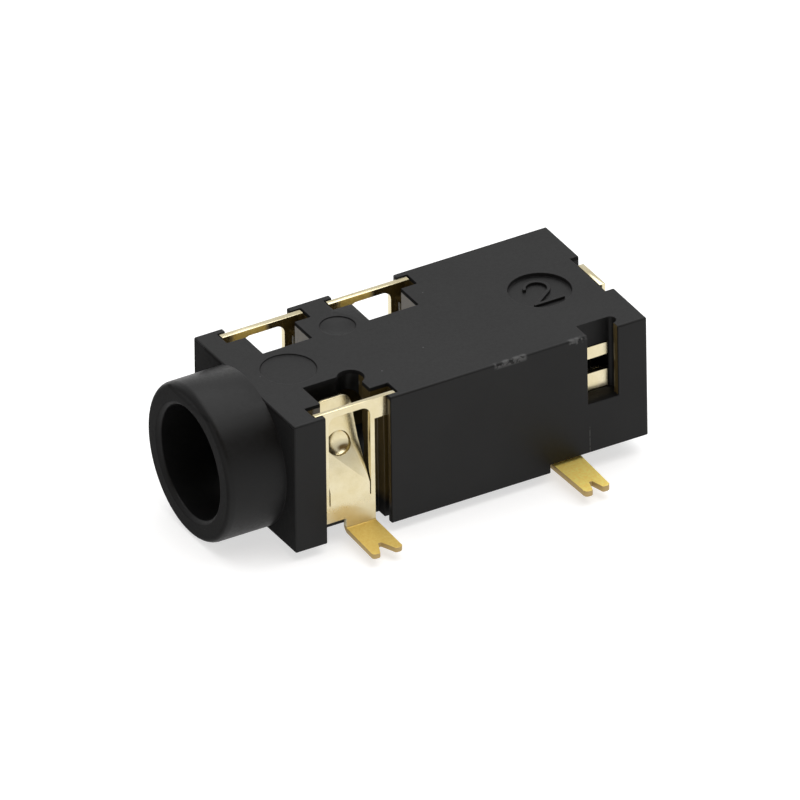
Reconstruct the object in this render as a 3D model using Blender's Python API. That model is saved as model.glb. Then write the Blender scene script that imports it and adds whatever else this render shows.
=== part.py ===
"""Surface-mount audio jack socket for a 3.5 mm plug: a moulded housing and five stamped contacts.

Every piece is drawn in metres with X across the housing, Y back from the housing's front face
and Z up from the board. The whole part is then placed with its origin under the body's centre.
"""

import math

import bmesh
import bpy
from mathutils import Matrix, Vector

# Housing body and nose.
BODY_WIDTH = 0.0060
BODY_LENGTH = 0.0121
BODY_HEIGHT = 0.0044
BODY_EDGE = 0.00005
NOSE_DIAMETER = 0.0050
NOSE_LENGTH = 0.00195
NOSE_ROUNDING = 0.00022
NOSE_ROOT = 0.00030
NOSE_ROOT_DIAMETER = 0.0042
AXIS_HEIGHT = 0.0022
REAR_STEP_START = BODY_LENGTH - 0.00335
REAR_STEP_HEIGHT = 0.00031

# Bore for the plug.
BORE_DIAMETER = 0.0036
MOUTH_DIAMETER = 0.00384
BACK_WALL = 0.00022

# Side pockets, each holding one framed contact behind two lips.
LEFT_POCKETS = (0.00208, 0.00573)
RIGHT_POCKET = 0.00220
OPENING_LENGTH = 0.00222
OPENING_DEPTH = 0.00080
RECESS_LENGTH = 0.00286
RECESS_SHIFT = 0.00004
LIP_THICKNESS = 0.00022
POCKET_LENGTH = 0.00168
LEFT_POCKET_SHIFT = 0.00008
POCKET_DEPTH = 0.00185
POCKET_FLOOR = 0.00060
CORE_HOLE_DIAMETER = 0.00082
CORE_HOLE_SHIFT = 0.00068

# Side groove and the slot behind it for the tip contact.
GROOVE_LENGTH = 0.00104
GROOVE_REAR_WALL = 0.00100
GROOVE_START = BODY_LENGTH - GROOVE_REAR_WALL - GROOVE_LENGTH
GROOVE_DEPTH = 0.00065
GROOVE_FLOOR = 0.0020
GROOVE_HOLE_DIAMETER = 0.00036
GROOVE_HOLE_INSET = 0.00047
TIP_OPENING_HEIGHT = 0.00080
TIP_OPENING_DEPTH = 0.00110

# Channel in the back face for the detect contact.
CHANNEL_WIDTH = 0.0021
CHANNEL_DEPTH = 0.00030
DETECT_OPENING_WIDTH = 0.00100
DETECT_OPENING_HEIGHT = 0.00240

# Round mould marks on the top face: across, back, diameter, depth.
MOULD_MARKS = (
    (0.0, 0.00153, 0.00170, 0.00005),
    (-0.00135, 0.00400, 0.00108, 0.00005),
    (0.0, 0.01015, 0.00192, 0.00012),
)

# Sheet metal shared by the contacts.
SEAT_GAP = 0.00003
TOP_SET = 0.00003
SHEET = 0.00020
SLEEVE_SHEET = 0.00017
BEND_RADIUS = 0.00014
EAR_HEIGHT = 0.00070
STRAP_GAP = 0.000045
STRAP_LENGTH = RECESS_LENGTH - 2 * STRAP_GAP
PRONG_WIDTH = 0.00028
PRONG_OUTER_RADIUS = 0.00012
PRONG_INNER_RADIUS = 0.00008
NOTCH_FLAT = 0.00010

# Ring contacts: a frame around a window, with a spring leaf bent into the bore.
RING_FRAME = (0.00087, 0.00105)
RING_WINDOW = (0.00066, 0.00078)
RING_STRAP_HEIGHT = 0.00022
WINDOW_ROUNDING = 0.00028
WINDOW_FLOOR = 0.00110
LEAF_BEND_HEIGHT = 0.00150
FRAME_FLOOR = 0.00050
LEAF_SLIT = 0.00003
LEAF_ROUNDING = 0.00030
LEAF_BOW = 0.00025
RING_LEAF = (-0.00044, 0.00060, -0.00042, 0.00058)
RING_LEAF_REACH = 0.00070
RING_LEAF_HEIGHT = 0.00330
RING_FOOT = (-0.00040, 0.00060, -0.00035, 0.00055)
RING_FOOT_REACH = 0.00155

# Sleeve contact: as a ring contact, but with a taller leaf and the window off centre.
SLEEVE_FRAME_FRONT = STRAP_LENGTH / 2 - RECESS_SHIFT
SLEEVE_FRAME_REAR = 0.00070
SLEEVE_WINDOW_FRONT = 0.00088
SLEEVE_WINDOW_REAR = 0.00054
SLEEVE_STRAP_HEIGHT = 0.00022
SLEEVE_LEAF = (-0.00076, 0.00051, -0.00078, 0.00042)
SLEEVE_LEAF_REACH = 0.00096
SLEEVE_LEAF_HEIGHT = 0.00415
SLEEVE_FOOT = (-0.00032, 0.00070, -0.00040, 0.00064)
SLEEVE_FOOT_REACH = 0.00148
FORK_DEPTH = 0.00052

# Dimple that each framed contact presses on the plug.
DIMPLE_DIAMETER = 0.00094
DIMPLE_RISE = 0.00020
DIMPLE_DEPTH = 0.00018
DIMPLE_WALL = 0.00006
DIMPLE_HEIGHT = 0.00271

# Tip contact: a plate behind the side groove, with a spring leaf cut from it.
TIP_PLATE_LEAD = 0.00118
TIP_PLATE_START = GROOVE_START - TIP_PLATE_LEAD
TIP_PLATE_LENGTH = 0.00242
TIP_PLATE_TOP = 0.00350
TIP_WALL_GAP = 0.00005
TIP_SLIT_START = TIP_PLATE_START + 0.00050
TIP_SLIT_LOW = 0.00258
TIP_SLIT_HIGH = 0.00307
TIP_LEAF_WIDTH = 0.00034
TIP_LEAF_REACH = 0.00085
TIP_FOOT = (0.0, 0.00103, 0.00008, 0.00094)
TIP_FOOT_REACH = 0.00170
TIP_FORK_DEPTH = 0.00046

# Detect contact: a strap in the back channel that the plug's end presses.
DETECT_WIDTH = 0.00130
DETECT_TOP = 0.00437
DETECT_LEAF_WIDTH = 0.00070
DETECT_LEAF_ROOT = 0.00130
DETECT_LEAF_TIP = 0.00300
DETECT_LEAF_REACH = 0.00060
DETECT_FOOT_WIDTH = 0.00090
DETECT_FOOT_REACH = 0.00090

# Facets and cutter clearance.
NOSE_STEPS = 64
BORE_STEPS = 48
MARK_STEPS = 40
CORNER_STEPS = 6
BEND_STEPS = 6
PAST = 0.0010

SIDE = BODY_WIDTH / 2


def clear_scene():
    for obj in list(bpy.data.objects):
        bpy.data.objects.remove(obj)


def material(name, colour, roughness, metallic):
    made = bpy.data.materials.new(name)
    made.use_nodes = True
    shader = made.node_tree.nodes["Principled BSDF"]
    shader.inputs["Base Color"].default_value = (*colour, 1.0)
    shader.inputs["Roughness"].default_value = roughness
    shader.inputs["Metallic"].default_value = metallic
    return made


def mesh_object(name, bm, smooth_angle=35):
    """An object from a bmesh, with its faces out and its round stretches smooth."""
    bmesh.ops.recalc_face_normals(bm, faces=bm.faces)
    if bm.calc_volume(signed=True) < 0:
        bmesh.ops.reverse_faces(bm, faces=bm.faces)
    mesh = bpy.data.meshes.new(name)
    bm.to_mesh(mesh)
    bm.free()
    mesh.shade_smooth()
    mesh.set_sharp_from_angle(angle=math.radians(smooth_angle))
    return bpy.data.objects.new(name, mesh)


def loft(name, rings):
    """A closed solid through equal rings of points, capped at its first and last ring."""
    bm = bmesh.new()
    loops = [[bm.verts.new(point) for point in ring] for ring in rings]
    for lower, upper in zip(loops, loops[1:]):
        for i in range(len(lower)):
            j = (i + 1) % len(lower)
            bm.faces.new((lower[i], lower[j], upper[j], upper[i]))
    bm.faces.new(loops[0])
    bm.faces.new(reversed(loops[-1]))
    return mesh_object(name, bm)


def prism(name, outline, axis, low, high):
    """An outline drawn in the two other axes, in X, Y, Z order, and pushed along one axis."""
    place = {
        "X": lambda a, b, t: (t, a, b),
        "Y": lambda a, b, t: (a, t, b),
        "Z": lambda a, b, t: (a, b, t),
    }[axis]
    return loft(name, [[place(a, b, t) for a, b in outline] for t in (low, high)])


def box(name, x, y, z):
    """A block between a low and a high value on each axis."""
    low, high = sorted(x)
    outline = [(y[0], z[0]), (y[1], z[0]), (y[1], z[1]), (y[0], z[1])]
    return prism(name, outline, "X", low, high)


def turned(name, profile, steps, centre=(0.0, 0.0), along="Y"):
    """A profile of (distance along the axis, radius) turned round an axis; its ends lie on the axis."""
    bm = bmesh.new()
    rings = []
    for position, radius in profile:
        count = 1 if radius == 0 else steps
        ring = []
        for i in range(count):
            angle = 2 * math.pi * i / steps
            a = centre[0] + radius * math.cos(angle)
            b = centre[1] + radius * math.sin(angle)
            ring.append(bm.verts.new((a, position, b) if along == "Y" else (a, b, position)))
        rings.append(ring)
    for first, second in zip(rings, rings[1:]):
        for i in range(steps):
            j = (i + 1) % steps
            if len(first) == 1:
                bm.faces.new((first[0], second[i], second[j]))
            elif len(second) == 1:
                bm.faces.new((first[i], second[0], first[j]))
            else:
                bm.faces.new((first[i], second[i], second[j], first[j]))
    return mesh_object(name, bm)


def arc(centre, radius, start, end, steps):
    """Points on an arc, with its angles in degrees."""
    angles = [math.radians(start + (end - start) * i / steps) for i in range(steps + 1)]
    return [(centre[0] + radius * math.cos(a), centre[1] + radius * math.sin(a)) for a in angles]


def bent_strip(name, path, thickness, widths, place):
    """A strip of sheet along a flat path, with its low and high edge given at each point."""
    points = [Vector(point) for point in path]
    rings = []
    for i, point in enumerate(points):
        before = points[max(i - 1, 0)]
        after = points[min(i + 1, len(points) - 1)]
        back = (point - before).normalized() if i else (after - point).normalized()
        on = (after - point).normalized() if i < len(points) - 1 else back
        normal = Vector((-(back + on).y, (back + on).x)).normalized()
        half = thickness / 2 / max(normal.dot(Vector((-on.y, on.x))), 0.5)
        low, high = widths[i]
        inner, outer = point - normal * half, point + normal * half
        corners = ((inner, low), (outer, low), (outer, high), (inner, high))
        rings.append([place(flat.x, flat.y, edge) for flat, edge in corners])
    return loft(name, rings)


def ellipsoid(name, centre, direction, radius, height, steps=24, rows=8):
    """A round blister of the given radius, with its short axis along a direction."""
    angles = [math.pi * i / rows for i in range(rows + 1)]
    profile = [(-height * math.cos(a), radius * math.sin(a)) for a in angles]
    profile[0], profile[-1] = (-height, 0), (height, 0)
    made = turned(name, profile, steps, along="Z")
    turn = Vector((0, 0, 1)).rotation_difference(Vector(direction)).to_matrix().to_4x4()
    made.data.transform(Matrix.Translation(centre) @ turn)
    return made


def boolean(target, operation, helpers, name):
    """A live Boolean of the target with a hidden collection of helper shapes."""
    group = bpy.data.collections.new(f"{target.name}_{name}")
    bpy.context.scene.collection.children.link(group)
    group.hide_render = True
    for helper in helpers:
        group.objects.link(helper)
        helper.hide_render = True
        helper.display_type = "WIRE"
        helper.parent = target
    modifier = target.modifiers.new(name, "BOOLEAN")
    modifier.operation = operation
    modifier.operand_type = "COLLECTION"
    modifier.collection = group
    modifier.solver = "EXACT"


def pocket_cuts(name, sign, centre, shift):
    """The cuts of one side pocket, with its top recess; the inner pocket lies shifted to the rear."""
    top = BODY_HEIGHT + PAST
    inner_wall = sign * (SIDE - OPENING_DEPTH)
    lip = sign * (SIDE - LIP_THICKNESS)
    opening = (centre - OPENING_LENGTH / 2, centre + OPENING_LENGTH / 2)
    middle = centre + RECESS_SHIFT
    recess = (middle - RECESS_LENGTH / 2, middle + RECESS_LENGTH / 2)
    pocket = (centre + shift - POCKET_LENGTH / 2, centre + shift + POCKET_LENGTH / 2)
    recess_floor = BODY_HEIGHT - TOP_SET - EAR_HEIGHT - SEAT_GAP
    pocket_end = sign * (SIDE - POCKET_DEPTH)
    overlap = sign * (SIDE - OPENING_DEPTH + LIP_THICKNESS)
    return [
        box(f"{name}_opening", (inner_wall, sign * (SIDE + PAST)), opening, (-PAST, top)),
        box(f"{name}_recess", (inner_wall, lip), recess, (recess_floor, top)),
        box(f"{name}_pocket", (pocket_end, overlap), pocket, (POCKET_FLOOR, top)),
    ]


def sleeve_cuts():
    """Slots for the sleeve contact's edges, and the round core hole beside its leaf."""
    outer = SIDE - LIP_THICKNESS
    inner = outer - SLEEVE_SHEET - 2 * SEAT_GAP
    middle = RIGHT_POCKET + RECESS_SHIFT
    front = middle - RECESS_LENGTH / 2
    rear = middle + RECESS_LENGTH / 2
    top = BODY_HEIGHT + PAST
    hole_centre = (SIDE - POCKET_DEPTH + CORE_HOLE_DIAMETER / 4, RIGHT_POCKET + CORE_HOLE_SHIFT)
    hole_profile = [
        (AXIS_HEIGHT, 0),
        (AXIS_HEIGHT, CORE_HOLE_DIAMETER / 2),
        (top, CORE_HOLE_DIAMETER / 2),
        (top, 0),
    ]
    floor = FRAME_FLOOR - SEAT_GAP
    return [
        box("sleeve_front_slot", (inner, outer), (front, RIGHT_POCKET), (floor, top)),
        box("sleeve_rear_slot", (inner, outer), (RIGHT_POCKET, rear), (-PAST, top)),
        turned("core_hole", hole_profile, MARK_STEPS, hole_centre, along="Z"),
    ]


def tip_cuts():
    """The side groove, the slot for the tip contact and the opening for its leaf."""
    groove_wall = SIDE - GROOVE_DEPTH
    slot = (groove_wall - SHEET - 2 * TIP_WALL_GAP, groove_wall)
    slot_y = (TIP_PLATE_START - TIP_WALL_GAP, TIP_PLATE_START + TIP_PLATE_LENGTH + TIP_WALL_GAP)
    groove_y = (GROOVE_START, GROOVE_START + GROOVE_LENGTH)
    top = BODY_HEIGHT + PAST
    middle = (TIP_SLIT_LOW + TIP_SLIT_HIGH) / 2
    opening_z = (middle - TIP_OPENING_HEIGHT / 2, middle + TIP_OPENING_HEIGHT / 2)
    radius = GROOVE_HOLE_DIAMETER / 2
    hole_centre = (SIDE - GROOVE_HOLE_INSET, GROOVE_START + GROOVE_LENGTH)
    hole_profile = [(GROOVE_FLOOR, 0), (GROOVE_FLOOR, radius), (top, radius), (top, 0)]
    return [
        box("groove", (groove_wall, SIDE + PAST), groove_y, (GROOVE_FLOOR, top)),
        turned("groove_hole", hole_profile, 24, hole_centre, along="Z"),
        box("tip_slot", slot, slot_y, (-PAST, TIP_PLATE_TOP + TIP_WALL_GAP)),
        box("tip_opening", (slot[0] - TIP_OPENING_DEPTH, slot[1] - SHEET / 2), slot_y, opening_z),
    ]


def back_cuts():
    """The channel in the back face, and the opening that the detect leaf reaches through."""
    channel_y = (BODY_LENGTH - CHANNEL_DEPTH, BODY_LENGTH + PAST)
    half = DETECT_OPENING_WIDTH / 2
    low = AXIS_HEIGHT - DETECT_OPENING_HEIGHT / 2
    high = AXIS_HEIGHT + DETECT_OPENING_HEIGHT / 2
    through = (BODY_LENGTH - CHANNEL_DEPTH - BACK_WALL - PAST, BODY_LENGTH)
    half_channel = CHANNEL_WIDTH / 2
    top = BODY_HEIGHT + PAST
    return [
        box("back_channel", (-half_channel, half_channel), channel_y, (-PAST, top)),
        box("detect_opening", (-half, half), through, (low, high)),
    ]


def bore_cutter():
    """The plug bore, with its lead-in at the mouth and its blind end at the back wall."""
    radius = BORE_DIAMETER / 2
    mouth = MOUTH_DIAMETER / 2
    lead = mouth - radius
    end = BODY_LENGTH - CHANNEL_DEPTH - BACK_WALL
    profile = [
        (-NOSE_LENGTH - PAST, 0),
        (-NOSE_LENGTH - PAST, mouth + PAST),
        (-NOSE_LENGTH + lead, radius),
        (end, radius),
        (end, 0),
    ]
    return turned("bore", profile, BORE_STEPS, (0.0, AXIS_HEIGHT))


def mould_mark_cuts():
    cuts = []
    for i, (across, back, diameter, depth) in enumerate(MOULD_MARKS):
        low, high = BODY_HEIGHT - depth, BODY_HEIGHT + PAST
        profile = [(low, 0), (low, diameter / 2), (high, diameter / 2), (high, 0)]
        cuts.append(turned(f"mould_mark_{i + 1}", profile, MARK_STEPS, (across, back), along="Z"))
    return cuts


def housing_body():
    """The body block with its outer edges eased."""
    bm = bmesh.new()
    bmesh.ops.create_cube(bm, size=1.0)
    size = Matrix.Diagonal((BODY_WIDTH, BODY_LENGTH, BODY_HEIGHT, 1.0))
    bmesh.ops.transform(bm, matrix=size, verts=bm.verts)
    shift = (0, BODY_LENGTH / 2, BODY_HEIGHT / 2)
    bmesh.ops.translate(bm, vec=shift, verts=bm.verts)
    bmesh.ops.bevel(bm, geom=bm.edges[:], offset=BODY_EDGE, segments=2, profile=0.5, affect="EDGES")
    return mesh_object("housing", bm)


def nose():
    radius = NOSE_DIAMETER / 2
    centre = (-NOSE_LENGTH + NOSE_ROUNDING, radius - NOSE_ROUNDING)
    front = arc(centre, NOSE_ROUNDING, 180, 90, CORNER_STEPS)
    root = NOSE_ROOT_DIAMETER / 2
    profile = [(-NOSE_LENGTH, 0), *front, (0, radius), (0, root), (NOSE_ROOT, root), (NOSE_ROOT, 0)]
    return turned("nose", profile, NOSE_STEPS, (0.0, AXIS_HEIGHT))


def housing():
    body = housing_body()
    boolean(body, "UNION", [nose()], "nose")
    rear_step = box(
        "rear_step",
        (-SIDE - PAST, SIDE + PAST),
        (REAR_STEP_START, BODY_LENGTH + PAST),
        (-PAST, REAR_STEP_HEIGHT),
    )
    cuts = [bore_cutter(), rear_step, *sleeve_cuts(), *tip_cuts(), *back_cuts(), *mould_mark_cuts()]
    cuts += pocket_cuts("right", 1, RIGHT_POCKET, 0.0)
    for i, centre in enumerate(LEFT_POCKETS):
        cuts += pocket_cuts(f"left_{i + 1}", -1, centre, LEFT_POCKET_SHIFT)
    boolean(body, "DIFFERENCE", cuts, "cuts")
    return body


def foot_path(plate, top, tip, thickness):
    """A path down a plate, round the bend and out along the board."""
    radius = BEND_RADIUS
    low = thickness / 2
    bend = arc((plate + radius, low + radius), radius, 180, 270, BEND_STEPS)
    return [(plate, top), *bend, (tip, low)]


def fork_outline(tip, depth, low, high):
    """What is cut from the end of a foot to leave two prongs with eased corners, in plan."""
    middle = (low + high) / 2
    outer, inner = PRONG_OUTER_RADIUS, PRONG_INNER_RADIUS
    half = [(tip - outer, low - PAST)]
    half += arc((tip - outer, low + outer), outer, -90, 0, CORNER_STEPS)
    half += arc((tip - inner, low + PRONG_WIDTH - inner), inner, 0, 60, CORNER_STEPS)
    half.append((tip - depth, middle - NOTCH_FLAT / 2))
    other = [(a, 2 * middle - b) for a, b in reversed(half)]
    return [*half, *other, (tip + PAST, high + PAST), (tip + PAST, low - PAST)]


def foot_side(plate, tip, root, end, beyond):
    """What is cut beside a foot, in plan: its edge runs from the plate's face to the foot's tip."""
    slope = (end - root) / (tip - plate)
    out = tip + PAST
    edge = [(plate - PAST, root), (plate, root), (out, root + slope * (out - plate))]
    return [*edge, (out, beyond), (plate - PAST, beyond)]


def mirrored_outline(outline, sign):
    return [(sign * a, b) for a, b in outline]


def blank(name, sign, plate, top, tip, thickness, span):
    """A bent blank: a plate standing along Y and a foot that runs out along X."""
    path = foot_path(plate, top, tip, thickness)
    return bent_strip(
        name, path, thickness, [span] * len(path), lambda a, b, edge: (sign * a, edge, b)
    )


def rounded_window(low_y, high_y, low_z, high_z, radius):
    """A window outline in Y and Z with round upper corners."""
    left = arc((low_y + radius, high_z - radius), radius, 180, 90, CORNER_STEPS)
    right = arc((high_y - radius, high_z - radius), radius, 90, 0, CORNER_STEPS)
    return [(low_y, low_z), *left, *right, (high_y, low_z)]


def leaf_points(plate, leaf):
    """Where the leaf bends out of its plate, its knee at the dimple and its tip."""
    reach, height = leaf
    root = Vector((plate, LEAF_BEND_HEIGHT))
    tip = Vector((plate - reach, height))
    share = (DIMPLE_HEIGHT - LEAF_BEND_HEIGHT) / (height - LEAF_BEND_HEIGHT)
    knee = root.lerp(tip, share) - Vector((LEAF_BOW, 0))
    return root, knee, tip


def window_leaf(name, sign, plate, sheet, root_span, knee_span, tip_span, leaf):
    """A leaf that leaves the window's lower edge, leans into the bore and ends in round corners."""
    root, knee, tip = leaf_points(plate, leaf)
    along = (tip - knee).normalized()
    shoulder = (tip - knee).length - LEAF_ROUNDING
    start = (plate, WINDOW_FLOOR - 2 * sheet)
    path = [start, tuple(root), tuple(knee), tuple(knee + along * shoulder)]
    spans = [root_span, root_span, knee_span, tip_span]
    for across, forward in arc((0.0, 0.0), LEAF_ROUNDING, 0, 90, CORNER_STEPS)[1:]:
        path.append(tuple(knee + along * (shoulder + forward)))
        spans.append((tip_span[0] + LEAF_ROUNDING - across, tip_span[1] - LEAF_ROUNDING + across))
    return bent_strip(name, path, sheet, spans, lambda a, b, edge: (sign * a, edge, b))


def add_dimple(contact, name, sign, plate, sheet, middle, leaf):
    """The round dimple that the leaf presses on the plug: raised inside the bore, hollow outside."""
    root, knee, tip = leaf_points(plate, leaf)
    along = (tip - root).normalized()
    inward = Vector((-along.y, along.x))
    direction = (sign * inward.x, 0.0, inward.y)
    low = knee + inward * (sheet / 2)
    high = knee - inward * (sheet / 2)
    bump_centre = (sign * low.x, middle, low.y)
    hollow_centre = (sign * high.x, middle, high.y)
    radius = DIMPLE_DIAMETER / 2
    bump = ellipsoid(f"{name}_bump", bump_centre, direction, radius, DIMPLE_RISE)
    hollow_radius = radius - DIMPLE_WALL
    hollow = ellipsoid(f"{name}_hollow", hollow_centre, direction, hollow_radius, DIMPLE_DEPTH)
    boolean(contact, "UNION", [bump], "dimple")
    boolean(contact, "DIFFERENCE", [hollow], "hollow")


def framed_contact(name, sign, centre, sheet, frame, window, strap, edges, leaf, foot, reach):
    """A contact whose frame stands in a side pocket, with a leaf in its window and a forked foot.

    frame and window give distances (to the front, to the rear) from the contact's centre. edges and
    foot give places of edges from it: the leaf's at its knee and then at its tip, the foot's at the
    plate and then at its tip. leaf is the leaf tip's (reach, height).
    """
    outer = SIDE - LIP_THICKNESS - SEAT_GAP
    plate = outer - sheet / 2
    top = BODY_HEIGHT - TOP_SET
    tip = SIDE + reach
    middle = centre + RECESS_SHIFT
    ends = (middle - STRAP_LENGTH / 2, middle + STRAP_LENGTH / 2)
    span = (min(ends[0], centre - frame[0]), max(ends[1], centre + frame[1]))
    contact = blank(name, sign, plate, top, tip, sheet, span)

    root_low, root_high, tip_low, tip_high = (centre + edge for edge in foot)
    frame_low, frame_high = centre - frame[0], centre + frame[1]
    window_low, window_high = centre - window[0], centre + window[1]
    across = (sign * (plate - PAST), sign * (plate + PAST))
    everywhere = (sign * (plate - PAST), sign * (tip + PAST))
    under_ear = (-PAST, top - EAR_HEIGHT)
    window_top = top - strap
    opening = rounded_window(window_low, window_high, WINDOW_FLOOR, window_top, WINDOW_ROUNDING)
    front = foot_side(plate, tip, root_low, tip_low, span[0] - PAST)
    rear = foot_side(plate, tip, root_high, tip_high, span[1] + PAST)
    fork = fork_outline(tip, FORK_DEPTH, tip_low, tip_high)
    cuts = [
        box(f"{name}_rear", everywhere, (frame_high, span[1] + PAST), under_ear),
        prism(f"{name}_foot_front", mirrored_outline(front, sign), "Z", -PAST, FRAME_FLOOR),
        prism(f"{name}_foot_rear", mirrored_outline(rear, sign), "Z", -PAST, FRAME_FLOOR),
        prism(f"{name}_window", opening, "X", min(across), max(across)),
        prism(f"{name}_fork", mirrored_outline(fork, sign), "Z", -PAST, sheet + PAST),
    ]
    if frame_low > span[0]:
        cuts.append(box(f"{name}_front", everywhere, (span[0] - PAST, frame_low), under_ear))
    boolean(contact, "DIFFERENCE", cuts, "outline")

    root_span = (window_low + LEAF_SLIT, window_high - LEAF_SLIT)
    knee_span = (centre + edges[0], centre + edges[1])
    tip_span = (centre + edges[2], centre + edges[3])
    spans = (root_span, knee_span, tip_span)
    leaf_solid = window_leaf(f"{name}_leaf", sign, plate, sheet, *spans, leaf)
    boolean(contact, "UNION", [leaf_solid], "leaf")
    add_dimple(contact, name, sign, plate, sheet, (window_low + window_high) / 2, leaf)
    return contact


def tip_contact():
    """A plate behind the side groove, with a leaf bent from its slit into the bore."""
    groove_wall = SIDE - GROOVE_DEPTH
    plate = groove_wall - TIP_WALL_GAP - SHEET / 2
    end = TIP_PLATE_START + TIP_PLATE_LENGTH
    tip = SIDE + TIP_FOOT_REACH
    contact = blank("tip_contact", 1, plate, TIP_PLATE_TOP, tip, SHEET, (TIP_PLATE_START, end))
    root_low, root_high, tip_low, tip_high = (TIP_PLATE_START + edge for edge in TIP_FOOT)
    everywhere = (plate - PAST, tip + PAST)
    front = foot_side(plate, tip, root_low, tip_low, TIP_PLATE_START - PAST)
    rear = foot_side(plate, tip, root_high, tip_high, end + PAST)
    fork = fork_outline(tip, TIP_FORK_DEPTH, tip_low, tip_high)
    cuts = [
        prism("tip_foot_front", front, "Z", -PAST, FRAME_FLOOR),
        prism("tip_foot_rear", rear, "Z", -PAST, FRAME_FLOOR),
        box("tip_slit", everywhere, (TIP_SLIT_START, end + PAST), (TIP_SLIT_LOW, TIP_SLIT_HIGH)),
        prism("tip_fork", fork, "Z", -PAST, SHEET + PAST),
    ]
    boolean(contact, "DIFFERENCE", cuts, "outline")

    middle = (TIP_SLIT_LOW + TIP_SLIT_HIGH) / 2
    edges = (middle - TIP_LEAF_WIDTH / 2, middle + TIP_LEAF_WIDTH / 2)
    length = end - TIP_SLIT_START
    path = [
        (plate, TIP_SLIT_START - SHEET),
        (plate, TIP_SLIT_START + length * 0.20),
        (plate - TIP_LEAF_REACH, TIP_SLIT_START + length * 0.84),
        (plate - TIP_LEAF_REACH * 0.88, end - TIP_WALL_GAP),
    ]
    leaf = bent_strip("tip_leaf", path, SHEET, [edges] * 4, lambda a, b, edge: (a, b, edge))
    boolean(contact, "UNION", [leaf], "leaf")
    return contact


def detect_contact():
    """A strap down the back channel, with a leaf through the back wall and a foot to the rear."""
    plate = BODY_LENGTH - CHANNEL_DEPTH + SEAT_GAP + SHEET / 2
    tip = BODY_LENGTH + DETECT_FOOT_REACH
    half = DETECT_WIDTH / 2
    path = foot_path(plate, DETECT_TOP, tip, SHEET)
    spans = [(-half, half)] * len(path)
    contact = bent_strip("detect_contact", path, SHEET, spans, lambda a, b, edge: (edge, a, b))

    foot = DETECT_FOOT_WIDTH / 2
    along = (plate - PAST, tip + PAST)
    leaf_half = DETECT_LEAF_WIDTH / 2
    window_half = leaf_half + LEAF_SLIT
    window_z = (DETECT_LEAF_ROOT, DETECT_LEAF_TIP + LEAF_SLIT)
    cuts = [
        box("detect_foot_left", (-half - PAST, -foot), along, (-PAST, FRAME_FLOOR)),
        box("detect_foot_right", (foot, half + PAST), along, (-PAST, FRAME_FLOOR)),
        box("detect_window", (-window_half, window_half), (plate - PAST, plate + PAST), window_z),
    ]
    boolean(contact, "DIFFERENCE", cuts, "outline")

    leaf_path = [
        (plate, DETECT_LEAF_ROOT - SHEET),
        (plate - DETECT_LEAF_REACH, (DETECT_LEAF_ROOT + DETECT_LEAF_TIP) / 2),
        (plate - DETECT_LEAF_REACH * 0.75, DETECT_LEAF_TIP),
    ]
    widths = [(-leaf_half, leaf_half)] * 3
    leaf = bent_strip("detect_leaf", leaf_path, SHEET, widths, lambda a, b, edge: (edge, a, b))
    boolean(contact, "UNION", [leaf], "leaf")
    return contact


def ring_contact(name, centre):
    return framed_contact(
        name,
        -1,
        centre,
        SHEET,
        RING_FRAME,
        RING_WINDOW,
        RING_STRAP_HEIGHT,
        RING_LEAF,
        (RING_LEAF_REACH, RING_LEAF_HEIGHT),
        RING_FOOT,
        RING_FOOT_REACH,
    )


def sleeve_contact():
    return framed_contact(
        "sleeve_contact",
        1,
        RIGHT_POCKET,
        SLEEVE_SHEET,
        (SLEEVE_FRAME_FRONT, SLEEVE_FRAME_REAR),
        (SLEEVE_WINDOW_FRONT, SLEEVE_WINDOW_REAR),
        SLEEVE_STRAP_HEIGHT,
        SLEEVE_LEAF,
        (SLEEVE_LEAF_REACH, SLEEVE_LEAF_HEIGHT),
        SLEEVE_FOOT,
        SLEEVE_FOOT_REACH,
    )


def main():
    clear_scene()
    plastic = material("housing_plastic", (0.022, 0.022, 0.024), 0.45, 0.0)
    gold = material("contact_gold", (0.83, 0.62, 0.26), 0.22, 1.0)
    frame = bpy.data.objects.new("socket_frame", None)
    frame.location = (0, -BODY_LENGTH / 2, 0)
    bpy.context.scene.collection.objects.link(frame)
    pieces = [(housing(), plastic), (sleeve_contact(), gold)]
    pieces += [
        (ring_contact("ring_contact_front", LEFT_POCKETS[0]), gold),
        (ring_contact("ring_contact_rear", LEFT_POCKETS[1]), gold),
        (tip_contact(), gold),
        (detect_contact(), gold),
    ]
    for piece, finish in pieces:
        bpy.context.scene.collection.objects.link(piece)
        piece.parent = frame
        piece.data.materials.append(finish)


main()
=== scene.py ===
import math

import bmesh
import bpy
from mathutils import Matrix, Vector


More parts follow.
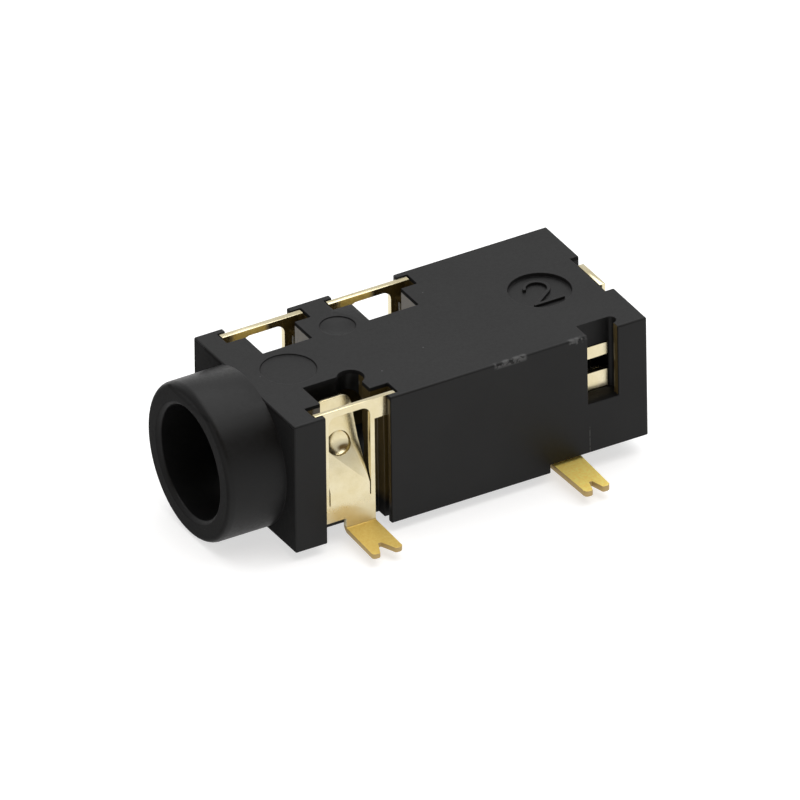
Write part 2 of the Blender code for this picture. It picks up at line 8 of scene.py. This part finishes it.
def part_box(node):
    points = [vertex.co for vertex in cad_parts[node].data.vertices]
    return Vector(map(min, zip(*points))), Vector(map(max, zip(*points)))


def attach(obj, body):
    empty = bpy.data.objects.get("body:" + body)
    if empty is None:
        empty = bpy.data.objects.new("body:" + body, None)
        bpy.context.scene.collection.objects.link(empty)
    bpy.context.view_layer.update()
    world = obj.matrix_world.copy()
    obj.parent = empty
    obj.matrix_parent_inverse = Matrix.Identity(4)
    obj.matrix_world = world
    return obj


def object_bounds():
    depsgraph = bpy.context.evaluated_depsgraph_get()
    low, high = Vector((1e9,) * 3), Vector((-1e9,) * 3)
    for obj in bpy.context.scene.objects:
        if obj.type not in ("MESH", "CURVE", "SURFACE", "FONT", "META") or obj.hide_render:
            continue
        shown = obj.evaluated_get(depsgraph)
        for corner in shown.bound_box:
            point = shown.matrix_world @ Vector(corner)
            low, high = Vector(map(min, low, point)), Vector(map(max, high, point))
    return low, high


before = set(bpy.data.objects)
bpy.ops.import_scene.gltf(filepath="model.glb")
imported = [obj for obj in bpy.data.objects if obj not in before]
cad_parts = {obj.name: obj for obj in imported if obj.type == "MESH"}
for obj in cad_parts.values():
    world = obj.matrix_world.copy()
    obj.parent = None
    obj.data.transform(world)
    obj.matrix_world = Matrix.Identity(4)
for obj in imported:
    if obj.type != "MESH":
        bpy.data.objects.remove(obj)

CAD_BOX = [list(corner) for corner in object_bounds()]

# Places and lengths are in millimetres in the row frame, and MM turns them into Blender's metres.
# x runs to the right side, y to the back and z up.
MM = 0.001

# The body, from the frame: it is centred on x 0 and y 0 and stands at z 0. Only the nose is lower and
# higher than the body, by the same length.
HOUSING = "housing"
HOUSING_LOW, HOUSING_HIGH = (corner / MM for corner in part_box(HOUSING))
SIDE = HOUSING_HIGH.x
BODY_BACK = HOUSING_HIGH.y
BODY_FRONT = -BODY_BACK
BODY_TOP = HOUSING_LOW.z + HOUSING_HIGH.z

# The side pockets and the rear wall of the side groove.
POCKETS_FRONT = BODY_FRONT + 0.50
POCKETS_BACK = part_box("ring_contact_rear")[1].y / MM + 0.295
POCKETS_INSIDE = 1.2
POCKETS_COATED = BODY_TOP - 0.14
POCKETS_FADE = (0.50, 0.90)
POCKETS_SOFT = 0.03
GROOVE_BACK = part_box("tip_contact")[1].y / MM - 0.20
GROOVE_INSIDE = 2.2
GROOVE_SOFT = 0.05
OUTER_SKIN = 0.06

# The round mould marks in the top face, and the numeral on the floor of the rear one.
MARK_FLOOR = BODY_TOP - 0.13
MARK_RIM = BODY_TOP - 0.02
MARK_RIM_SOFT = 0.01
MARK_REACH = 2.3
MARK_SOFT = 0.05
MARK_STEEP = (0.7, 0.3)
NUMBER_PLACE = Vector((0.0, 4.10))
NUMBER_TOP = MARK_FLOOR + 0.09
NUMBER_BOWL = Vector((0.0, 0.20))
NUMBER_RADIUS = 0.37
NUMBER_HALF = 0.052
NUMBER_START = math.radians(168.0)
NUMBER_TURN = math.radians(-54.0)
NUMBER_STEPS = 18
NUMBER_LEFT = -0.54
NUMBER_RIGHT = 0.50
NUMBER_FOOT = -0.64
NUMBER_EDGE = 0.012

# Eased edges and shading. An edge that turns more than CREASE_ANGLE stays sharp.
HOUSING_EDGE = 0.030
CONTACT_EDGE = 0.020
EDGE_SEGMENTS = 2
WELD_DISTANCE = 0.0005
FLAT_ANGLE = math.radians(0.5)
EDGE_ANGLE = math.radians(35.0)
CREASE_ANGLE = math.radians(32.0)

# The span of the values that a noise mostly takes.
NOISE_SPAN = (0.3, 0.7)

# Plastic. TONE_CLOUD and GRAIN_SPARK are the shares of the first of two noises. MATT_EXTRA is what matt
# faces add to the roughness. FRONT_FACING is how far along y a face has to point to start to count as a
# front face, and to count as one in full.
PLASTIC_DARK = (0.0022, 0.0022, 0.0023)
PLASTIC_LIGHT = (0.0060, 0.0059, 0.0059)
PLASTIC_SPAN = (0.25, 0.75)
TONE_CLOUD = 0.6
PLASTIC_ROUGH = (0.34, 0.48)
PLASTIC_SPECULAR = 0.18
GRAIN_STRENGTH = 0.45
GRAIN_DEPTH = 0.010
GRAIN_SPARK = 0.35
MATT_EXTRA = 0.50
FRONT_FACING = (-0.60, -0.95)
WORN_COLOUR = (0.075, 0.075, 0.075, 1.0)
# Painted reflection: a warm brown in the colour of the pocket and groove walls, for the gold that they
# reflect.
POCKET_REFLECTION_COLOUR = (0.085, 0.057, 0.013, 1.0)
POCKET_REFLECTION_SHARE = 0.6
POCKET_COAT = 0.66
GROOVE_COAT = 0.6
COAT_ROUGH = 0.10

# Wear: the scuffed band along each long top edge with the places along y on the right one, the noise
# values that scuff and tear it, the mould line, the dust, and how strongly each shows.
SCUFF_ACROSS = (SIDE - 0.16, SIDE - 0.06)
SCUFF_UP = (BODY_TOP - 0.20, BODY_TOP - 0.10)
SCUFF_PLACES = ((0.90, 1.85), (3.45, 3.90))
SCUFF_SOFT = 0.12
SCUFF_SPOTS = (0.58, 0.66)
SCUFF_TEARS = (0.42, 0.50)
SCUFF_SHARE = 0.75
SEAM_BACK = 4.05
SEAM_WIDTH = 0.022
SEAM_BOTTOM = 0.15
SEAM_TOP = 1.15
SEAM_SOFT = 0.10
SEAM_SKIN = (SIDE - 0.02, SIDE - 0.01)
SEAM_DASHES = (0.40, 0.55)
SEAM_SHARE = 0.65
DUST_DENSITY = 1.9
DUST_RARE = 0.80
DUST_SIZE = (0.035, 0.060)
DUST_SHARE = 0.8

# Plating. BEND_EXTRA is what the plates add to their roughness going down to the bend of the foot.
PLATE_DARK = (0.62, 0.535, 0.325)
PLATE_LIGHT = (0.69, 0.625, 0.44)
PLATE_ROUGH = (0.17, 0.25)
PLATE_RELIEF = 0.012
BEND_HEIGHTS = (1.2, 0.3)
BEND_EXTRA = 0.22
WAVE_STRENGTH = 0.8
WAVE_DEPTH = 0.030
SLOPE_DEPTH = 1.0
FOOT_TOP = 0.20
FOOT_SOFT = 0.05
FOOT_STEEP = (0.75, 0.35)
FOOT_DARK = (0.92, 0.62, 0.13)
FOOT_LIGHT = (1.00, 0.77, 0.24)
FOOT_SIDE_SHADE = (0.42, 0.30, 0.12, 1.0)
FOOT_ROUGH = (0.46, 0.60)
FOOT_METALLIC = 0.45
FOOT_RELIEF = 0.192

# The painted amber reflection high up on each left strap, along y from the ring contact's front edge.
STRAP_REFLECTION_HEIGHTS = (3.72, 3.88)
STRAP_REFLECTION_FACING = (0.6, 0.9)
STRAP_REFLECTION_SOFT = 0.25
STRAP_REFLECTION_STRETCHES = {"ring_contact_front": (0.465, 1.415), "ring_contact_rear": (0.465, 1.345)}

# The finish of each contact: the way its rolling lines run, the slope of its shading, and a factor on
# the colour of its foot, which paints shade on the sleeve contact's foot and light on the tip contact's
# foot. A slope is its rise towards the back, its fall towards the top, and the height it ends at.
SIDE_LINES = (0.08, 1.0, 0.08)
BACK_LINES = (1.0, 1.0, 0.08)
FRAME_LEAN = (0.0, 0.08, 1.35)
TIP_LEAN = (0.22, 0.22, 4.0)
FINISHES_AND_PAINTED_LIGHT = {
    "ring_contact_front": (SIDE_LINES, FRAME_LEAN, 1.0),
    "ring_contact_rear": (SIDE_LINES, FRAME_LEAN, 1.0),
    "sleeve_contact": (SIDE_LINES, FRAME_LEAN, 0.85),
    "tip_contact": (SIDE_LINES, TIP_LEAN, 1.12),
    "detect_contact": (BACK_LINES, FRAME_LEAN, 1.0),
}

# Studio. The world is brightest at and under the horizon, and dim and warm where DIM_WAY points.
WORLD_UNDER = 1.05
WORLD_LOW = 0.88
WORLD_HIGH = 0.74
WORLD_SOFT = 0.25
WORLD_HEIGHT = 0.9
DIM_WAY = (0.74, -0.42, 0.53)
DIM_START = 0.55
DIM_FULL = 0.85
DIM_LOW = 0.28
DIM_HIGH = 0.48
DIM_COLOUR = (0.12, 0.07, 0.02, 1.0)
LIGHT_PLACE = Vector((-20.0, 40.0, 220.0))
LIGHT_SIZE = 300.0
LIGHT_POWER = 0.60
FLOOR_REACH = 600.0
FLOOR_GAP = 0.002
FLOOR_DARK = (0.48, 0.48, 0.48)
FLOOR_LIGHT = (0.52, 0.52, 0.52)
FLOOR_ROUGH = 0.9
FLOOR_GLOW = 0.62

# Camera, in degrees. It is orthographic, because no perspective can be measured in the photo.
AZIMUTH = 60.427
ELEVATION = 31.865
ROLL = -0.770
CAMERA_DISTANCE = 250.0
CAMERA_NEAR = 10.0
CAMERA_FAR = 2000.0
IMAGE_WIDTH = 23.771
AIM = Vector((0.1466, -0.8054, 2.1892))


# Node helpers.


def new_material(name):
    """A material whose surface is one Principled shader: the material, its node tree and the shader."""
    made = bpy.data.materials.new(name)
    made.use_nodes = True
    tree = made.node_tree
    tree.nodes.clear()
    out = tree.nodes.new("ShaderNodeOutputMaterial")
    shader = tree.nodes.new("ShaderNodeBsdfPrincipled")
    tree.links.new(shader.outputs["BSDF"], out.inputs["Surface"])
    return made, tree, shader


def node(tree, kind, settings=None, **inputs):
    """A node. Its inputs, given by name or as i0, i1 by place, are values or sockets to link."""
    made = tree.nodes.new(kind)
    for key, value in (settings or {}).items():
        setattr(made, key, value)
    for key, value in inputs.items():
        by_place = key[0] == "i" and key[1:].isdigit()
        socket = made.inputs[int(key[1:])] if by_place else made.inputs[key]
        if isinstance(value, bpy.types.NodeSocket):
            tree.links.new(value, socket)
        else:
            socket.default_value = value
    return made


def maths(tree, operation, a, b=0.0, c=0.0):
    return node(tree, "ShaderNodeMath", {"operation": operation}, i0=a, i1=b, i2=c).outputs[0]


def product(tree, first, *others):
    for other in others:
        first = maths(tree, "MULTIPLY", first, other)
    return first


def fade(tree, value, start, end, low=0.0, high=1.0, smooth=False):
    """Goes from low to high while value goes from start to end, and stays level beyond them."""
    settings = {"interpolation_type": "SMOOTHSTEP"} if smooth else None
    made = node(tree, "ShaderNodeMapRange", settings, i0=value, i1=start, i2=end, i3=low, i4=high)
    return made.outputs[0]


def between(tree, value, low, high, soft):
    """1 where value lies between low and high, falling to 0 over soft."""
    up = fade(tree, value, low - soft, low, smooth=True)
    down = fade(tree, value, high, high + soft, 1.0, 0.0, smooth=True)
    return product(tree, up, down)


def mixed(tree, share, first, second):
    """The first colour, with that share of the second."""
    made = node(tree, "ShaderNodeMix", {"data_type": "RGBA"}, Factor=share, i6=first, i7=second)
    return made.outputs[2]


def ramp(tree, factor, dark, light, span=NOISE_SPAN):
    """A colour that goes from dark to light while the factor crosses the span."""
    made = node(tree, "ShaderNodeValToRGB", None, i0=factor)
    for element, place, colour in zip(made.color_ramp.elements, span, (dark, light)):
        element.position = place
        element.color = (*colour, 1.0)
    return made.outputs["Color"]


def bump(tree, height, strength, depth, **inputs):
    """The shading of a relief whose height runs from 0 to 1 over that depth."""
    made = node(tree, "ShaderNodeBump", None, Height=height, Strength=strength, **inputs)
    made.inputs["Distance"].default_value = depth * MM
    return made.outputs[0]


def millimetres(tree):
    """The point in the row frame, in millimetres, as a vector and as its three parts."""
    where = tree.nodes.new("ShaderNodeTexCoord").outputs["Object"]
    scaled = node(tree, "ShaderNodeVectorMath", {"operation": "SCALE"}, i0=where, Scale=1.0 / MM)
    parts = node(tree, "ShaderNodeSeparateXYZ", None, i0=scaled.outputs[0])
    return scaled.outputs[0], parts.outputs


def facing(tree):
    """The three parts of the way that the surface faces."""
    normal = tree.nodes.new("ShaderNodeTexCoord").outputs["Normal"]
    return node(tree, "ShaderNodeSeparateXYZ", None, i0=normal).outputs


def noise(tree, where, scale, detail=3.0, roughness=0.55, stretch=None):
    if stretch:
        where = node(tree, "ShaderNodeMapping", None, Vector=where, Scale=stretch).outputs[0]
    made = node(tree, "ShaderNodeTexNoise", None, Vector=where, Scale=scale)
    made.inputs["Detail"].default_value = detail
    made.inputs["Roughness"].default_value = roughness
    return made.outputs["Fac"]


# Plastic.


def edge_scuffs(tree, where, x, y, z):
    """Broken scuffs on the long top edges: here and there on the left, at two places on the right."""
    outer = fade(tree, maths(tree, "ABSOLUTE", x), *SCUFF_ACROSS)
    upper = fade(tree, z, *SCUFF_UP)
    left = maths(tree, "LESS_THAN", x, 0.0)
    spots = noise(tree, where, scale=1.7, detail=4.0, roughness=0.65, stretch=(1.0, 0.6, 1.0))
    scuffed = product(tree, fade(tree, spots, *SCUFF_SPOTS), left)
    right = maths(tree, "GREATER_THAN", x, 0.0)
    torn = fade(tree, noise(tree, where, scale=4.5, detail=4.0, roughness=0.6), *SCUFF_TEARS)
    for start, end in SCUFF_PLACES:
        patch = product(tree, between(tree, y, start, end, SCUFF_SOFT), right, torn)
        scuffed = maths(tree, "MAXIMUM", scuffed, patch)
    return product(tree, outer, upper, scuffed)


def mould_line(tree, where, x, y, z):
    """A short, broken, upright mould line on the right side."""
    thin = between(tree, y, SEAM_BACK, SEAM_BACK, SEAM_WIDTH)
    height = between(tree, z, SEAM_BOTTOM, SEAM_TOP, SEAM_SOFT)
    right = fade(tree, x, *SEAM_SKIN)
    dashed = fade(tree, noise(tree, where, scale=9.0, detail=1.0), *SEAM_DASHES)
    return product(tree, thin, height, right, dashed)


def dust(tree, where):
    """A small speck in the middle of one cell in five."""
    cells = node(tree, "ShaderNodeTexVoronoi", {"feature": "F1"}, Vector=where, Scale=DUST_DENSITY)
    picked = node(tree, "ShaderNodeSeparateColor", None, i0=cells.outputs["Color"]).outputs[0]
    rare = maths(tree, "GREATER_THAN", picked, DUST_RARE)
    return product(tree, fade(tree, cells.outputs["Distance"], *DUST_SIZE, 1.0, 0.0), rare)


def wear(tree, where, x, y, z):
    """The share of the worn colour: scuffed edges, the mould line and specks of dust."""
    scuffs = product(tree, edge_scuffs(tree, where, x, y, z), SCUFF_SHARE)
    line = product(tree, mould_line(tree, where, x, y, z), SEAM_SHARE)
    specks = product(tree, dust(tree, where), DUST_SHARE)
    return maths(tree, "MAXIMUM", maths(tree, "MAXIMUM", scuffs, line), specks)


def cavity(tree, x, y, z):
    """1 on the walls inside the side pockets, 0 on the outer faces, in the groove and low down."""
    across = maths(tree, "ABSOLUTE", x)
    deep = between(tree, across, POCKETS_INSIDE, SIDE - OUTER_SKIN, POCKETS_SOFT)
    along = between(tree, y, POCKETS_FRONT, POCKETS_BACK, POCKETS_SOFT)
    under = fade(tree, z, POCKETS_COATED, POCKETS_COATED + POCKETS_SOFT, 1.0, 0.0, smooth=True)
    raised = fade(tree, z, *POCKETS_FADE)
    return product(tree, deep, along, under, raised)


def groove_wall(tree, x, y, front):
    """1 on the rear wall of the side groove, which faces the front."""
    across = maths(tree, "ABSOLUTE", x)
    deep = between(tree, across, GROOVE_INSIDE, SIDE - OUTER_SKIN, POCKETS_SOFT)
    return product(tree, deep, between(tree, y, GROOVE_BACK, GROOVE_BACK, GROOVE_SOFT), front)


def mark_walls(tree, x, z, upward):
    """1 on the walls of the round mould marks in the top face."""
    steep = fade(tree, upward, *MARK_STEEP)
    height = between(tree, z, MARK_FLOOR, MARK_RIM, MARK_RIM_SOFT)
    return product(tree, steep, height, between(tree, x, -MARK_REACH, MARK_REACH, MARK_SOFT))


def plastic_material(name):
    """Black moulded plastic: satin outside, matt on what faces the front, glossy in the pockets, with a
    painted gold reflection in the colour of the pocket and groove walls.
    """
    made, tree, shader = new_material(name)
    where, (x, y, z) = millimetres(tree)
    _, backward, upward = facing(tree)
    front = fade(tree, backward, *FRONT_FACING)
    pocket = cavity(tree, x, y, z)
    groove = groove_wall(tree, x, y, front)
    speck = noise(tree, where, scale=9.0, detail=4.0, roughness=0.7)

    cloud = noise(tree, where, scale=0.55, detail=2.0)
    brightness = maths(tree, "MULTIPLY_ADD", cloud, TONE_CLOUD, product(tree, speck, 1.0 - TONE_CLOUD))
    colour = ramp(tree, brightness, PLASTIC_DARK, PLASTIC_LIGHT, PLASTIC_SPAN)
    colour = mixed(tree, wear(tree, where, x, y, z), colour, WORN_COLOUR)
    # Painted reflection: the pocket and groove walls take a warm brown for the gold that they reflect.
    warm = product(tree, maths(tree, "MAXIMUM", pocket, groove), POCKET_REFLECTION_SHARE)
    tree.links.new(mixed(tree, warm, colour, POCKET_REFLECTION_COLOUR), shader.inputs["Base Color"])

    matt = maths(tree, "ADD", front, mark_walls(tree, x, z, upward))
    rough = fade(tree, speck, *NOISE_SPAN, *PLASTIC_ROUGH)
    rough = maths(tree, "MULTIPLY_ADD", matt, MATT_EXTRA, rough)
    tree.links.new(rough, shader.inputs["Roughness"])
    shader.inputs["Specular IOR Level"].default_value = PLASTIC_SPECULAR
    polish = product(tree, pocket, POCKET_COAT)
    polish = maths(tree, "MAXIMUM", polish, product(tree, groove, GROOVE_COAT))
    tree.links.new(polish, shader.inputs["Coat Weight"])
    shader.inputs["Coat Roughness"].default_value = COAT_ROUGH

    spark = noise(tree, where, scale=26.0, detail=3.0, roughness=0.6)
    flow = noise(tree, where, scale=1.6, detail=2.0, roughness=0.5, stretch=(1.0, 0.35, 1.0))
    height = maths(tree, "MULTIPLY_ADD", spark, GRAIN_SPARK, product(tree, flow, 1.0 - GRAIN_SPARK))
    tree.links.new(bump(tree, height, GRAIN_STRENGTH, GRAIN_DEPTH), shader.inputs["Normal"])
    return made


# Plating.


def strap_painted_reflection(tree, inward, x, y, z):
    """1 high up on the inner faces of the two left straps, over their front half, where an amber
    reflection is painted.
    """
    spots = []
    for name, (start, end) in STRAP_REFLECTION_STRETCHES.items():
        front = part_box(name)[0].y / MM
        spots.append(between(tree, y, front + start, front + end, STRAP_REFLECTION_SOFT))
    spot = maths(tree, "MAXIMUM", *spots)
    left = maths(tree, "LESS_THAN", x, 0.0)
    return product(tree, spot, left, fade(tree, z, *STRAP_REFLECTION_HEIGHTS), fade(tree, inward, *STRAP_REFLECTION_FACING))


# Painted light and shade: a foot's colour scaled up or down for how much light falls on that foot.
def with_painted_light(colour, brightness):
    return tuple(min(1.0, part * brightness) for part in colour)


def gold_colour(tree, where, speck, satin, side, brightness):
    """Pale on the plates, deeper where the plating is satin, with painted light and shade scaling each
    foot, and a painted shade of brown on the thin sides of the feet.
    """
    stain = noise(tree, where, scale=1.3)
    plate = ramp(tree, stain, PLATE_DARK, PLATE_LIGHT)
    deep = ramp(tree, speck, with_painted_light(FOOT_DARK, brightness), with_painted_light(FOOT_LIGHT, brightness))
    return mixed(tree, satin, plate, mixed(tree, side, deep, FOOT_SIDE_SHADE))


def gold_roughness(tree, speck, satin, z):
    bright = fade(tree, speck, *NOISE_SPAN, *PLATE_ROUGH)
    bright = maths(tree, "MULTIPLY_ADD", fade(tree, z, *BEND_HEIGHTS), BEND_EXTRA, bright)
    dull = fade(tree, speck, *NOISE_SPAN, *FOOT_ROUGH)
    return node(tree, "ShaderNodeMix", None, Factor=satin, i2=bright, i3=dull).outputs[0]


def gold_surface(tree, where, satin, y, z, lines, lean):
    """A slow wave, rolling lines and pits, then the plates' slope, which only the shading has."""
    wave = noise(tree, where, scale=1.1, detail=1.0, roughness=0.5)
    rolled = noise(tree, where, scale=14.0, detail=3.0, roughness=0.6, stretch=lines)
    pits = noise(tree, where, scale=20.0, detail=2.0, roughness=0.5)
    relief = maths(tree, "MULTIPLY_ADD", satin, FOOT_RELIEF - PLATE_RELIEF, PLATE_RELIEF)
    fine = product(tree, maths(tree, "ADD", rolled, pits), relief)
    surface = bump(tree, maths(tree, "ADD", wave, fine), WAVE_STRENGTH, WAVE_DEPTH)
    back, down, top = lean
    level = fade(tree, z, 0.0, top, 0.0, top)
    rise = maths(tree, "MULTIPLY_ADD", level, -down, product(tree, y, back))
    return bump(tree, rise, maths(tree, "SUBTRACT", 1.0, satin), SLOPE_DEPTH, Normal=surface)


def gold_material(name, lines, lean, brightness):
    """Gold plating over rolled sheet: bright on the plates, satin on the feet, and with the satin colour
    on a painted amber reflection high on the left straps.
    """
    made, tree, shader = new_material(name)
    where, (x, y, z) = millimetres(tree)
    inward, _, upward = facing(tree)
    speck = noise(tree, where, scale=11.0, detail=4.0, roughness=0.65)
    foot = fade(tree, z, FOOT_TOP, FOOT_TOP + FOOT_SOFT, 1.0, 0.0, smooth=True)
    # Painted shade: the steep thin sides of the feet take a dark brown colour.
    side = product(tree, fade(tree, upward, *FOOT_STEEP), foot)
    # The satin mask also carries the painted amber reflection high on the left straps.
    satin = maths(tree, "MAXIMUM", foot, strap_painted_reflection(tree, inward, x, y, z))
    colour = gold_colour(tree, where, speck, satin, side, brightness)
    tree.links.new(colour, shader.inputs["Base Color"])
    metallic = maths(tree, "MULTIPLY_ADD", satin, FOOT_METALLIC - 1.0, 1.0)
    tree.links.new(metallic, shader.inputs["Metallic"])
    tree.links.new(gold_roughness(tree, speck, satin, z), shader.inputs["Roughness"])
    surface = gold_surface(tree, where, satin, y, z, lines, lean)
    tree.links.new(surface, shader.inputs["Normal"])
    return made


# Dressing the solids.


def dress(obj, material):
    obj.data.materials.clear()
    obj.data.materials.append(material)


def normals_group():
    """Geometry nodes that shade a node smooth, but for edges that turn more than CREASE_ANGLE."""
    tree = bpy.data.node_groups.new("smooth_by_angle", "GeometryNodeTree")
    for way in ("INPUT", "OUTPUT"):
        tree.interface.new_socket("Geometry", in_out=way, socket_type="NodeSocketGeometry")
    start = tree.nodes.new("NodeGroupInput")
    end = tree.nodes.new("NodeGroupOutput")
    turn = tree.nodes.new("GeometryNodeInputMeshEdgeAngle").outputs[0]
    sharp = node(tree, "FunctionNodeCompare", {"operation": "GREATER_THAN"}, i0=turn, i1=CREASE_ANGLE)
    normals = node(tree, "GeometryNodeSetMeshNormal", {"mode": "SHARPNESS"}, i0=start.outputs[0])
    normals.inputs["Remove Custom"].default_value = True
    tree.links.new(sharp.outputs[0], normals.inputs["Edge Sharpness"])
    tree.links.new(normals.outputs[0], end.inputs[0])
    return tree


def bevel(obj, width):
    edges = obj.modifiers.new("edges", "BEVEL")
    edges.width = width * MM
    edges.segments = EDGE_SEGMENTS
    edges.limit_method = "ANGLE"
    edges.angle_limit = EDGE_ANGLE
    return edges


def ease(obj, width, normals):
    """Rounds the sharp edges of a node with modifiers, which leave its own mesh as it is."""
    weld = obj.modifiers.new("weld", "WELD")
    weld.merge_threshold = WELD_DISTANCE * MM
    flat = obj.modifiers.new("flat_faces", "DECIMATE")
    flat.decimate_type = "DISSOLVE"
    flat.angle_limit = FLAT_ANGLE
    bevel(obj, width).use_clamp_overlap = False
    shade = obj.modifiers.new("normals", "NODES")
    shade.node_group = normals
    weighted = obj.modifiers.new("weighted", "WEIGHTED_NORMAL")
    weighted.mode = "FACE_AREA"
    weighted.weight = 50
    weighted.keep_sharp = True


def number_outline():
    """The outline of a plain 2: the bowl's outer arc, the foot, and back along the inner arc."""
    foot_top = NUMBER_FOOT + 2 * NUMBER_HALF
    step = (NUMBER_TURN - NUMBER_START) / NUMBER_STEPS
    angles = [NUMBER_START + step * i for i in range(NUMBER_STEPS + 1)]
    rays = [Vector((math.cos(angle), math.sin(angle))) for angle in angles]
    outer = [NUMBER_BOWL + ray * (NUMBER_RADIUS + NUMBER_HALF) for ray in rays]
    inner = [NUMBER_BOWL + ray * (NUMBER_RADIUS - NUMBER_HALF) for ray in rays]
    way = Vector((math.sin(NUMBER_TURN), -math.cos(NUMBER_TURN)))
    foot = [
        outer[-1] + way * ((foot_top - outer[-1].y) / way.y),
        Vector((NUMBER_RIGHT, foot_top)),
        Vector((NUMBER_RIGHT, NUMBER_FOOT)),
        Vector((NUMBER_LEFT, NUMBER_FOOT)),
        inner[-1] + way * ((NUMBER_LEFT - inner[-1].x) / way.x),
    ]
    return outer + foot + inner[::-1]


def cavity_number(material):
    """A plain raised numeral, the mould's cavity number, on the floor of the rear mould mark."""
    outline = [NUMBER_PLACE + Vector((-point.y, point.x)) for point in number_outline()]
    bm = bmesh.new()
    low = [bm.verts.new((point.x * MM, point.y * MM, MARK_FLOOR * MM)) for point in outline]
    high = [bm.verts.new((point.x * MM, point.y * MM, NUMBER_TOP * MM)) for point in outline]
    bm.faces.new(low)
    bm.faces.new(high[::-1])
    for i in range(len(outline)):
        j = (i + 1) % len(outline)
        bm.faces.new((low[i], high[i], high[j], low[j]))
    bmesh.ops.recalc_face_normals(bm, faces=bm.faces)
    mesh = bpy.data.meshes.new("cavity_number")
    bm.to_mesh(mesh)
    bm.free()
    piece = bpy.data.objects.new("cavity_number", mesh)
    bpy.context.scene.collection.objects.link(piece)
    dress(piece, material)
    bevel(piece, NUMBER_EDGE)
    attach(piece, "root")


def dress_part():
    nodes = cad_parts
    normals = normals_group()
    plastic = plastic_material("housing_plastic_look")
    dress(nodes[HOUSING], plastic)
    ease(nodes[HOUSING], HOUSING_EDGE, normals)
    # The last factor of each finish is painted light and shade on the foot's colour: darker on the
    # sleeve contact, lighter on the tip contact.
    for name, (lines, lean, brightness) in FINISHES_AND_PAINTED_LIGHT.items():
        dress(nodes[name], gold_material(name + "_look", lines, lean, brightness))
        ease(nodes[name], CONTACT_EDGE, normals)
    cavity_number(plastic)


# The studio.


def floor_material():
    """A pale table that glows softly, so that the background stays white and the shadows faint."""
    made, tree, shader = new_material("floor_look")
    where = tree.nodes.new("ShaderNodeTexCoord").outputs["Object"]
    patch = noise(tree, where, scale=60.0, detail=2.0)
    tree.links.new(ramp(tree, patch, FLOOR_DARK, FLOOR_LIGHT), shader.inputs["Base Color"])
    shader.inputs["Roughness"].default_value = FLOOR_ROUGH
    shader.inputs["Specular IOR Level"].default_value = 0.0
    shader.inputs["Emission Color"].default_value = (1.0, 1.0, 1.0, 1.0)
    shader.inputs["Emission Strength"].default_value = FLOOR_GLOW
    return made


def stage():
    bm = bmesh.new()
    bmesh.ops.create_grid(bm, x_segments=1, y_segments=1, size=FLOOR_REACH * MM)
    mesh = bpy.data.meshes.new("floor")
    bm.to_mesh(mesh)
    bm.free()
    floor = bpy.data.objects.new("floor", mesh)
    floor.location = (0.0, 0.0, CAD_BOX[0][2] - FLOOR_GAP * MM)
    floor.data.materials.append(floor_material())
    bpy.context.scene.collection.objects.link(floor)


def studio_world():
    """A white studio, with a dim warm room on the side that the photo was taken from."""
    world = bpy.data.worlds.new("studio")
    world.use_nodes = True
    tree = world.node_tree
    background = tree.nodes["Background"]
    way = tree.nodes.new("ShaderNodeTexCoord").outputs["Generated"]
    x, y, z = node(tree, "ShaderNodeSeparateXYZ", None, i0=way).outputs
    along = maths(tree, "MULTIPLY_ADD", x, DIM_WAY[0], product(tree, y, DIM_WAY[1]))
    along = maths(tree, "MULTIPLY_ADD", z, DIM_WAY[2], along)
    dim = fade(tree, along, DIM_START, DIM_FULL, smooth=True)
    dim = product(tree, dim, fade(tree, z, DIM_LOW, DIM_HIGH, smooth=True))
    sky = fade(tree, z, 0.0, WORLD_HEIGHT, WORLD_LOW, WORLD_HIGH, smooth=True)
    horizon = fade(tree, z, 0.0, WORLD_SOFT, WORLD_UNDER - WORLD_LOW, 0.0, smooth=True)
    level = maths(tree, "ADD", horizon, sky)
    white = node(tree, "ShaderNodeCombineColor", None, i0=level, i1=level, i2=level).outputs[0]
    tree.links.new(mixed(tree, dim, white, DIM_COLOUR), background.inputs["Color"])
    background.inputs["Strength"].default_value = 1.0
    bpy.context.scene.world = world


def top_light():
    """One large softbox above the part."""
    light = bpy.data.lights.new("top_softbox", "AREA")
    light.size = LIGHT_SIZE * MM
    light.energy = LIGHT_POWER
    made = bpy.data.objects.new("top_softbox", light)
    made.location = LIGHT_PLACE * MM
    made.rotation_mode = "QUATERNION"
    made.rotation_quaternion = (-LIGHT_PLACE).to_track_quat("-Z", "Y")
    bpy.context.scene.collection.objects.link(made)


def camera():
    """The photo's view: it looks at AIM from its azimuth and elevation, with a slight roll."""
    data = bpy.data.cameras.new("camera")
    data.type = "ORTHO"
    data.ortho_scale = IMAGE_WIDTH * MM
    data.clip_start = CAMERA_NEAR * MM
    data.clip_end = CAMERA_FAR * MM
    made = bpy.data.objects.new("camera", data)
    azimuth, elevation, roll = map(math.radians, (AZIMUTH, ELEVATION, ROLL))
    right = Vector((math.cos(azimuth), math.sin(azimuth), 0.0))
    level = Vector((math.sin(azimuth), -math.cos(azimuth), 0.0))
    back = level * math.cos(elevation) + Vector((0.0, 0.0, math.sin(elevation)))
    up = back.cross(right)
    rolled_right = math.cos(roll) * right + math.sin(roll) * up
    rolled_up = math.cos(roll) * up - math.sin(roll) * right
    made.rotation_mode = "QUATERNION"
    made.rotation_quaternion = Matrix((rolled_right, rolled_up, back)).transposed().to_quaternion()
    made.location = (AIM + back * CAMERA_DISTANCE) * MM
    bpy.context.scene.collection.objects.link(made)
    bpy.context.scene.camera = made


def main():
    bpy.context.scene.view_settings.view_transform = "Standard"
    dress_part()
    stage()
    studio_world()
    top_light()
    camera()


main()
